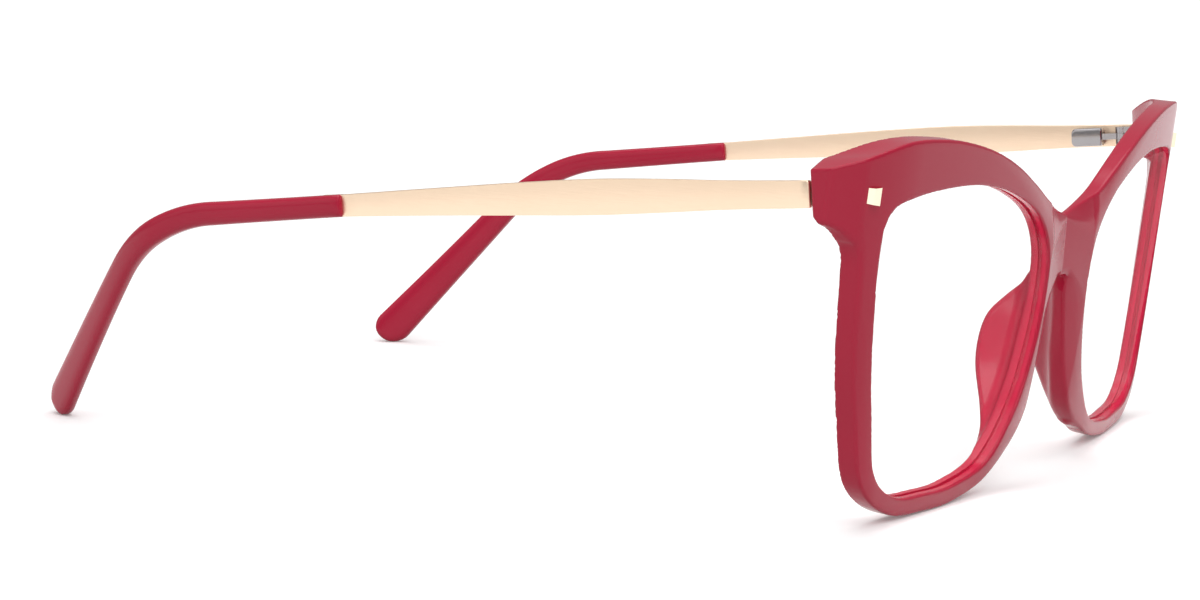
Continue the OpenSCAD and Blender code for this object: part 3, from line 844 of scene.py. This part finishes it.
        cut = np.where(v > self.open_behind, opening, np.maximum(opening, t - s.rim_depth - 0.06))
        solid = round_both(solid, -cut, self.opening_r)
        groove = np.maximum(opening - self.groove_into,
                            np.abs(t - s.rim_depth / 2) - self.groove_half)
        return np.maximum(solid, -groove)

    def build(self) -> bpy.types.Object:
        """Makes the front and lets it stand for the frame's node."""
        s = self.sizes
        self.prepare()
        low = np.array([-s.half_w - 0.7, -0.7, -0.7])
        high = np.array([s.half_w + 0.7, s.corner_w + s.endpiece_depth + 1.6, s.peak + 0.7])
        points, faces, normals = Polygoniser(self.shape, low, high, self.pitch).mesh()
        LOG.info("front: %d points, %d faces", len(points), len(faces))
        piece = make_piece("moulded_front", s.to_row(points), faces, s.turn(normals))
        self.finishes.dress(piece, Slot.CRIMSON)
        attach(piece, Body.FRONT.value)
        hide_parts("front")
        return piece

    def build_seat(self, side: Side) -> bpy.types.Object:
        """The crisp inner wall and groove that hold one lens.

        Args:
            side: the lens's side.

        Returns:
            The seat piece.
        """
        s = self.sizes
        outline = self.lens_outline(10)
        across = np.roll(outline, -1, axis=0) - np.roll(outline, 1, axis=0)
        out = np.stack([across[:, 1], -across[:, 0]], 1)
        out /= np.hypot(*out.T)[:, None]
        middle, half, proud, floor, root = s.rim_depth / 2, 0.33, 0.02, 0.36, 0.7
        edge, ease = 0.34, 0.05
        profile = [(-proud, edge), (-proud, middle - half), (floor, middle - half + ease),
                   (floor, middle + half - ease), (-proud, middle + half),
                   (-proud, s.rim_depth - edge), (root, s.rim_depth - edge), (root, edge)]
        rings = []
        for reach, depth in profile:
            flat = outline + out * reach
            a = flat[:, 0] / (1 + depth / s.wrap_r)
            rings.append(np.stack([a * side.value, s.swept(a) + depth, flat[:, 1]], 1))
        n, m = len(outline), len(rings)
        faces = []
        for r in range(m):
            here, there = r * n, (r + 1) % m * n
            for k in range(n):
                q = [here + k, here + (k + 1) % n, there + (k + 1) % n, there + k]
                faces.append(q if side is Side.RIGHT else q[::-1])
        piece = make_piece(f"{side.word}_lens_seat", s.to_row(np.vstack(rings)), faces)
        piece.data.set_sharp_from_angle(angle=math.radians(35))
        self.finishes.dress(piece, Slot.CRIMSON)
        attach(piece, Body.FRONT.value)
        return piece


@dataclass
class Lens:
    """A domed lens with an edge bevel that sits in the rim's groove."""

    sizes: FrontSizes
    finishes: Finishes
    side: Side
    thickness: float = 1.8
    dome: float = 0.5
    play: float = 0.002
    bevel_out: float = 0.28
    mean_reach: float = 22.0

    def build(self, outline: Array) -> bpy.types.Object:
        """Makes the lens.

        Args:
            outline: the lens opening's outline.

        Returns:
            The lens piece.
        """
        s = self.sizes
        middle = outline.mean(0)
        rings = []
        spreads = np.linspace(0.04, 1, 12)
        for face, order in ((-1, spreads), (1, spreads[::-1])):
            for k in order:
                flat = middle + (outline - middle) * k * (1 - self.play)
                depth = (s.wrap(flat[:, 0]) + s.rim_depth / 2 + face * self.thickness / 2
                         - self.dome * (1 - k * k))
                rings.append(np.stack([flat[:, 0] * self.side.value, depth, flat[:, 1]], 1))
            if face < 0:
                grown = middle + (outline - middle) * (1 + self.bevel_out / self.mean_reach)
                rings.append(np.stack([grown[:, 0] * self.side.value,
                                       s.wrap(grown[:, 0]) + s.rim_depth / 2, grown[:, 1]], 1))
        points, faces = loft(rings)
        if self.side is Side.LEFT:
            faces = [f[::-1] for f in faces]
        piece = make_piece(f"{self.side.word}_clear_lens", s.to_row(points), faces)
        self.finishes.dress(piece, Slot.LENS)
        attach(piece, Body.FRONT.value)
        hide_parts(f"{self.side.word}_lens")
        return piece


# --- the temples -------------------------------------------------------------------------
@dataclass
class Temple:
    """One temple: its brushed bar, moulded tip and spring housing."""

    sizes: FrontSizes
    finishes: Finishes
    side: Side
    bar_len: float = 66.7
    bar_t: float = 0.9
    bar_front_h: float = 3.3
    bar_wide_h: float = 4.5
    bar_rear_h: float = 2.9
    bar_rise: float = 0.3
    inset: float = 1.45
    tip_straight: float = 21.5
    tip_drop: float = 46.7
    tip_bend_deg: float = 45.0
    tip_bend_r: float = 26.0
    tip_lean_deg: float = 19.0
    tip_h: float = 5.4
    tip_t: float = 2.6
    bar_start: float = -1.84
    housing_gap: float = 3.4
    housing_len: float = 4.6
    knuckle_h: float = 2.8

    def __post_init__(self) -> None:
        """Reads the temple's place from the frame's joints."""
        flex = next(j for j in frame["joints"] if j["name"] == "left_flex")
        self.inward = math.asin(-flex["axis"][0])

    def to_row(self, p: Array) -> Array:
        """Points from the temple's own frame to the row frame, on this side."""
        ci, si = math.cos(self.inward), math.sin(self.inward)
        cf, sf = math.cos(self.sizes.fall), math.sin(self.sizes.fall)
        x, y, z = p[:, 0] * ci - p[:, 1] * si, p[:, 0] * si + p[:, 1] * ci, p[:, 2]
        q = self.sizes.pivot + np.stack([x, y * cf + z * sf, z * cf - y * sf], 1)
        return q * [self.side.value, 1, 1]

    def place(self, name: str, rings: list[Array], slot: Slot, *nodes: str) -> bpy.types.Object:
        """Makes a lofted piece of this temple.

        Args:
            name: the piece's name, without its side.
            rings: the loft's rings in the temple's own frame.
            slot: the piece's material slot.
            *nodes: the frame's nodes that it stands for, without their side.

        Returns:
            The piece.
        """
        points, faces = loft(rings)
        if self.side is Side.LEFT:
            faces = [f[::-1] for f in faces]
        piece = make_piece(f"{self.side.word}_{name}", self.to_row(points), faces)
        self.finishes.dress(piece, slot)
        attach(piece, Body.TEMPLE.of(self.side))
        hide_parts(*[f"{self.side.word}_{n}" for n in nodes])
        return piece

    def bar_half(self, y: Array) -> Array:
        """Half the bar's height at a distance behind the hinge."""
        f, w, r, n = self.bar_front_h, self.bar_wide_h, self.bar_rear_h, self.bar_len
        line = spline([(self.bar_start, f / 2), (0.14 * n, 0.4 * f + 0.1 * w),
                       (0.28 * n, 0.15 * f + 0.35 * w),
                       (0.42 * n, w / 2), (0.58 * n, 0.1 * r + 0.4 * w),
                       (0.78 * n, 0.3 * r + 0.2 * w), (n, r / 2)], 8, False)
        return np.interp(y, line[:, 0], line[:, 1])

    def bar_mid(self, y: Array) -> Array:
        """Height of the bar's middle line."""
        return self.bar_rise * np.sin(np.pi * np.clip(y / self.bar_len, 0, 1))

    def build_bar(self) -> bpy.types.Object:
        """The flat bar, its long edges just broken."""
        ease = 0.16
        rings = []
        chamfer, hidden = 0.14, 3
        stations = np.concatenate([[self.bar_start],
                                   np.linspace(-1.7, self.bar_len - 0.3, 60),
                                   [self.bar_len + hidden]])
        for n, y in enumerate(stations):
            h, m = float(self.bar_half(y)), float(self.bar_mid(y))
            inset = chamfer if n == 0 else 0.0
            lo, hi = self.inset + inset, self.inset + self.bar_t - inset
            high, low = m + h - ease - inset, m - h + ease + inset
            ring = []
            for cx, cz, a0 in ((hi - ease, high, 0), (lo + ease, high, 90), (lo + ease, low, 180),
                               (hi - ease, low, 270)):
                for k in range(4):
                    a = math.radians(a0 + 30 * k)
                    ring.append((cx + ease * math.cos(a), y, cz + ease * math.sin(a)))
            rings.append(np.array(ring))
        return self.place("satin_bar", rings, Slot.CHAMPAGNE, "temple_bar")

    def tip_line(self) -> tuple[Array, Array]:
        """The tip's middle line in side view.

        Returns:
            Its points, and the run of length up to each.
        """
        r, bend = self.tip_bend_r, math.radians(self.tip_bend_deg)
        dip = 0.03 * self.tip_straight
        start = self.bar_len + self.tip_straight
        flat = [(self.bar_len + s * self.tip_straight, -dip * s) for s in np.linspace(0, 0.95, 14)]
        curve = [(start + r * math.sin(a), -dip - r * (1 - math.cos(a)))
                 for a in np.linspace(0, bend, 26)]
        run = self.tip_drop - r * bend
        ex, ez = curve[-1]
        tail = [(ex + run * s * math.cos(bend), ez - run * s * math.sin(bend))
                for s in np.linspace(0, 1, 20)[1:]]
        line = np.array(flat + curve + tail)
        length = np.concatenate([[0], np.cumsum(np.hypot(*np.diff(line, axis=0).T))])
        return line, length

    def tip_lean(self, y: Array) -> Array:
        """The tip's inward lean, seen from above."""
        bend = math.radians(self.tip_bend_deg)
        start = self.bar_len + self.tip_straight + self.tip_bend_r * 0.4
        end = (self.bar_len + self.tip_straight + self.tip_bend_r * math.sin(bend)
               + (self.tip_drop - self.tip_bend_r * bend) * math.cos(bend) + self.tip_h)
        s = np.maximum(0, y - start) / (end - start)
        return -(end - start) * math.tan(math.radians(self.tip_lean_deg)) * 1.25 * s * s / (s + 0.25)

    def build_tip(self) -> bpy.types.Object:
        """The moulded tip: oval in section, rounded at its end, with a small lip at the bar."""
        line, length = self.tip_line()
        total = length[-1]
        full = (self.bar_rear_h + 0.1 + (self.tip_h - self.bar_rear_h) * (length / total) ** 2.2) / 2
        direction = np.gradient(line, axis=0)
        direction /= np.hypot(*direction.T)[:, None]
        end_r = full[-1]
        angles = np.linspace(0, 2 * np.pi, 40, endpoint=False)
        rings = []
        turns = np.linspace(0, math.pi / 2, 9)
        stations = [(0.0, 0.80, 0.72), (0.08, 0.92, 0.9), (0.25, 0.99, 0.98)]
        stations += [(float(x), 1.0, 1.0) for x in length[1:]]
        stations += [(total + end_r * math.sin(a), max(math.cos(a), 0.05),
                      max(min(1.0, 1.45 * math.cos(a)) ** 0.7, 0.05)) for a in turns[1:]]
        for at, high, thick in stations:
            inside = min(at, total)
            at_line = np.array([np.interp(inside, length, line[:, k]) for k in (0, 1)])
            d = np.array([np.interp(inside, length, direction[:, k]) for k in (0, 1)])
            centre = at_line + d * (at - inside)
            up = np.array([-d[1], d[0]])
            h = float(np.interp(inside, length, full)) * high
            t = self.tip_t / 2 * thick
            cx, cz = oval(angles, 2 / 3, t, h)
            y, z = centre[0] + up[0] * cz, centre[1] + up[1] * cz
            x = self.inset + self.bar_t / 2 + self.tip_lean(y) + cx
            rings.append(np.stack([x, y, z], 1))
        return self.place("moulded_tip", rings, Slot.CRIMSON, "temple_tip")

    def build_housing(self) -> bpy.types.Object:
        """The spring housing: a small polished block with rounded rear corners."""
        low, high = -1.2, self.inset
        half = self.knuckle_h / 2
        middle, wide = (low + high) / 2, (high - low) / 2
        angles = np.linspace(0, 2 * np.pi, 32, endpoint=False)
        rings = []
        end = self.housing_gap + self.housing_len
        ease = 0.55
        stations = [(self.housing_gap + back, k) for back, k in ((0, 0.9), (0.1, 0.98), (0.3, 1.0))]
        stations += [(end - ease + ease * math.sin(a), 1 - ease / half * (1 - math.cos(a)))
                     for a in np.linspace(0, math.pi / 2, 7)]
        for y, k in stations:
            cx, cz = oval(angles, 1 / 3, wide, half * k)
            rings.append(np.stack([middle + cx, np.full(len(angles), y), cz], 1))
        return self.place("spring_case", rings, Slot.STEEL, "spring_housing")

    def build(self) -> list[bpy.types.Object]:
        """Makes the temple's pieces."""
        return [self.build_bar(), self.build_tip(), self.build_housing()]


@dataclass
class Hardware:
    """The small metal parts that the frame already holds in their true shape."""

    finishes: Finishes
    steel: tuple[str, ...] = ("front_hinge", "hinge_screw", "spring_slide", "spring_stop", "hinge_spring")

    def dress(self) -> None:
        """Breaks the edges of the visible parts and gives all of them their metal."""
        for side in Side:
            for name in self.steel:
                piece = frame["nodes"][f"{side.word}_{name}"]
                self.finishes.dress(piece, Slot.STEEL)
                if name in ("front_hinge", "spring_slide"):
                    bevel(piece, 0.08)
            stud = frame["nodes"][f"{side.word}_stud"]
            self.finishes.dress(stud, Slot.GOLD)
            bevel(stud, 0.1)


# --- the studio ------------------------------------------------------------------------------
@dataclass
class Studio:
    """Pale floor with a painted glow, soft lights and the camera."""

    camera_at: tuple[float, float, float] = (-0.39740, -0.19926, 0.07645)
    yaw: float = 1.0986
    pitch: float = 0.1317
    roll: float = 0.0315
    focal_width: float = 3065.3 / 1200
    floor_half: float = 12.0

    def floor(self) -> None:
        """A wide pale floor with painted light. It glows for every ray except diffuse bounces, dimmer
        near the centre and brighter further out, and those rays see a lighter colour than the bounces
        get.
        """
        h = self.floor_half
        mesh = bpy.data.meshes.new("floor")
        mesh.from_pydata([(-h, -h, 0), (h, -h, 0), (h, h, 0), (-h, h, 0)], [], [(0, 1, 2, 3)])
        floor = bpy.data.objects.new("floor", mesh)
        floor.location.z = -0.00002
        bpy.context.scene.collection.objects.link(floor)
        material, shader = blank_material("pale_floor")
        shader.inputs["Roughness"].default_value = 0.9
        shader.inputs["Specular IOR Level"].default_value = 0.0
        shader.inputs["Emission Color"].default_value = (1, 1, 1, 1)
        tree = material.node_tree
        path = add(tree, "ShaderNodeLightPath")
        where = add(tree, "ShaderNodeTexCoord")
        reach = add(tree, "ShaderNodeVectorMath", operation="LENGTH")
        # painted light: the floor's glow, weak near the glasses and strong far off, hidden from diffuse
        # bounces
        painted_glow = add(tree, "ShaderNodeMapRange", in_From_Min=0.25,
                   in_From_Max=2.5, in_To_Min=0.16, in_To_Max=0.9)
        seen = add(tree, "ShaderNodeMath", operation="SUBTRACT", in_0=1.0)
        painted_glow_strength = add(tree, "ShaderNodeMath", operation="MULTIPLY")
        # painted light: rays other than diffuse bounces see a lighter floor colour than the bounces get
        camera_lit_tint = add(tree, "ShaderNodeMix", data_type="RGBA")
        camera_lit_tint.inputs[MIX_A].default_value = (0.93, 0.93, 0.93, 1)
        camera_lit_tint.inputs[MIX_B].default_value = (0.55, 0.55, 0.55, 1)
        link = tree.links.new
        link(where.outputs["Object"], reach.inputs[0])
        link(reach.outputs["Value"], painted_glow.inputs["Value"])
        link(path.outputs["Is Diffuse Ray"], seen.inputs[1])
        link(painted_glow.outputs["Result"], painted_glow_strength.inputs[0])
        link(seen.outputs["Value"], painted_glow_strength.inputs[1])
        link(painted_glow_strength.outputs["Value"], shader.inputs["Emission Strength"])
        link(path.outputs["Is Diffuse Ray"], camera_lit_tint.inputs["Factor"])
        link(camera_lit_tint.outputs[MIX_OUT], shader.inputs["Base Color"])
        mesh.materials.append(material)

    def light(self, name: str, at: tuple[float, float, float], size: float, power: float) -> None:
        """A square soft light aimed at the object.

        Args:
            name: the light's name.
            at: its place in metres.
            size: its side in metres.
            power: its power in watts.
        """
        data = bpy.data.lights.new(name, "AREA")
        data.shape, data.size, data.energy = "SQUARE", size, power
        lamp = bpy.data.objects.new(name, data)
        lamp.location = at
        aim = Vector((0, 0, 0.03)) - Vector(at)
        lamp.rotation_euler = aim.to_track_quat("-Z", "Y").to_euler()
        bpy.context.scene.collection.objects.link(lamp)

    def camera(self) -> None:
        """The camera, at the view that shows the front and both temples."""
        cy, sy, cp, sp = (math.cos(self.yaw), math.sin(self.yaw),
                          math.cos(self.pitch), math.sin(self.pitch))
        ahead = Vector((sy * cp, cy * cp, -sp))
        right = ahead.cross(Vector((0, 0, 1))).normalized()
        up = right.cross(ahead)
        cr, sr = math.cos(self.roll), math.sin(self.roll)
        r2, u2 = right * cr + up * sr, up * cr - right * sr
        data = bpy.data.cameras.new("camera")
        data.sensor_width, data.sensor_fit = 36.0, "HORIZONTAL"
        data.lens = 36.0 * self.focal_width
        data.clip_start, data.clip_end = 0.01, 60.0
        cam = bpy.data.objects.new("camera", data)
        m = Matrix([list(r2) + [0], list(u2) + [0], list(-ahead) + [0], [0, 0, 0, 1]]).transposed()
        m.translation = Vector(self.camera_at)
        cam.matrix_world = m
        bpy.context.scene.collection.objects.link(cam)
        bpy.context.scene.camera = cam

    def world(self) -> None:
        """An even pale sky."""
        world = bpy.data.worlds.new("studio")
        world.use_nodes = True
        back = world.node_tree.nodes["Background"]
        back.inputs["Color"].default_value = (1, 1, 1, 1)
        back.inputs["Strength"].default_value = 0.42
        bpy.context.scene.world = world

    def build(self) -> None:
        """Sets the whole studio."""
        self.floor()
        self.world()
        self.light("key", (-0.9, -0.9, 1.2), 1.2, 11)
        self.light("fill", (-1.2, 0.9, 0.8), 1.4, 4)
        self.light("over", (0.2, 0.1, 1.5), 1.5, 12)
        self.camera()
        scene = bpy.context.scene
        scene.view_settings.view_transform = "Standard"
        scene.view_settings.look = "None"


def main() -> None:
    """Builds every sub-assembly."""
    logging.basicConfig(level=logging.INFO, format="%(name)s: %(message)s")
    sizes = FrontSizes()
    finishes = Finishes()
    front = Front(sizes, finishes)
    LOG.info("made %s", front.build().name)
    for side in Side:
        LOG.info("made %s", front.build_seat(side).name)
        LOG.info("made %s", Lens(sizes, finishes, side).build(front.lens_outline(8)).name)
        for piece in Temple(sizes, finishes, side).build():
            LOG.info("made %s", piece.name)
    Hardware(finishes).dress()
    LOG.info("dressed the hinges and studs")
    Studio().build()


if __name__ == "__main__":
    main()
